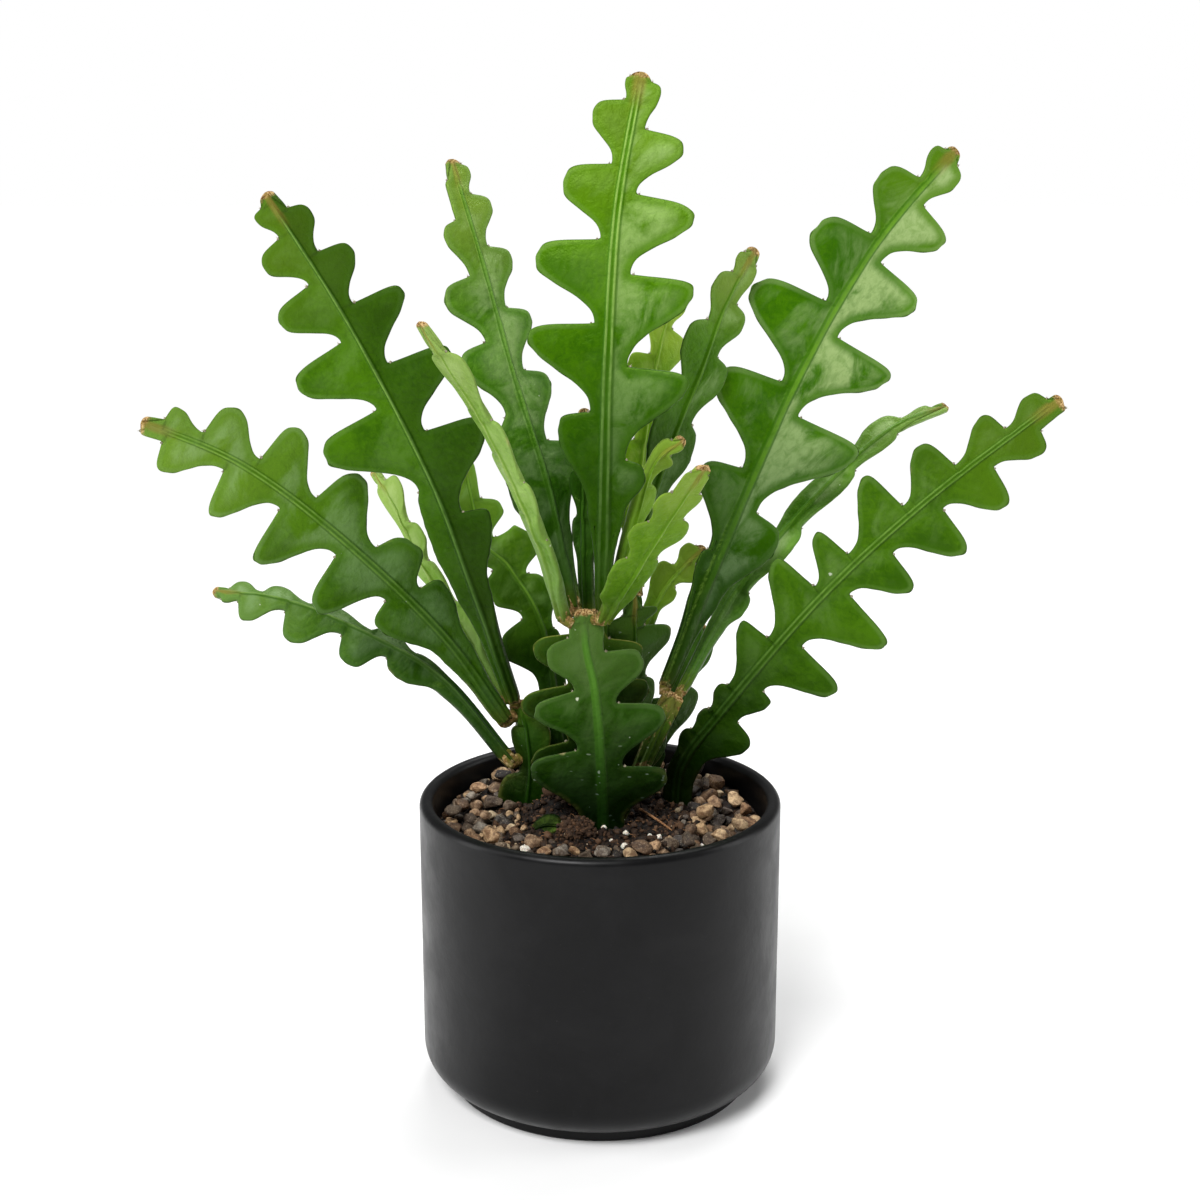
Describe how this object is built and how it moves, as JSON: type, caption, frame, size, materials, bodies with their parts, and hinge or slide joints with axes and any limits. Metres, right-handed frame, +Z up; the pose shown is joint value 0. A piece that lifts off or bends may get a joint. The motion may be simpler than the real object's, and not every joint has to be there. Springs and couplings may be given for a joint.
{
  "type": "potted fishbone cactus",
  "caption": "Potted fishbone cactus: flat, deeply lobed green stems spread from dark soil and gravel in a black cylindrical pot with a flat foot, to stand on a shelf or table.",
  "frame": {"origin": "middle of the pot's flat foot, on the surface that the pot stands on", "axes": "+Z up, the plant's front faces -Y, +X to the right seen from the front"},
  "size_m": [0.3019, 0.1503, 0.3603],
  "materials": {
    "pot_glaze": "satin",
    "soil": "matte",
    "stem_green": "satin",
    "stem_dark": "satin",
    "stem_young": "satin",
    "stem_bark": "matte",
    "pebble": "matte"
  },
  "bodies": {
    "root": {"pot": "pot_glaze", "potting_soil": "soil", "stem_centre_tall": "stem_green", "stem_front_old": "stem_dark", "stem_behind_front": "stem_dark", "stem_left_old": "stem_dark", "stem_back_left": "stem_dark", "stem_back_right": "stem_dark", "stem_right_old": "stem_bark", "stem_right_dark": "stem_dark", "stem_right_far": "stem_green", "stem_small_dark": "stem_dark", "stem_buried_end": "stem_dark", "shoot_left_far": "stem_green", "shoot_left_low": "stem_green", "shoot_left_tall": "stem_green", "shoot_left_thin": "stem_young", "shoot_upper_left": "stem_green", "shoot_young_left": "stem_young", "shoot_back_light": "stem_young", "shoot_right_inner": "stem_green", "shoot_right_tall": "stem_green", "shoot_right_edge": "stem_green", "shoot_young_front": "stem_young", "shoot_young_back": "stem_young", "shoot_young_low": "stem_young", "pebble_01": "pebble", "pebble_02": "pebble", "pebble_03": "pebble", "pebble_04": "pebble", "pebble_05": "pebble", "pebble_06": "pebble", "pebble_07": "pebble", "pebble_08": "pebble", "pebble_09": "pebble", "pebble_10": "pebble", "pebble_11": "pebble", "pebble_12": "pebble", "pebble_13": "pebble", "pebble_14": "pebble", "pebble_15": "pebble", "pebble_16": "pebble", "pebble_17": "pebble", "pebble_18": "pebble", "pebble_19": "pebble", "pebble_20": "pebble", "pebble_21": "pebble", "pebble_22": "pebble", "pebble_23": "pebble", "pebble_24": "pebble", "pebble_25": "pebble", "pebble_26": "pebble", "pebble_27": "pebble", "pebble_28": "pebble", "pebble_29": "pebble", "pebble_30": "pebble", "pebble_31": "pebble", "pebble_32": "pebble", "pebble_33": "pebble"}
  },
  "joints": []
}
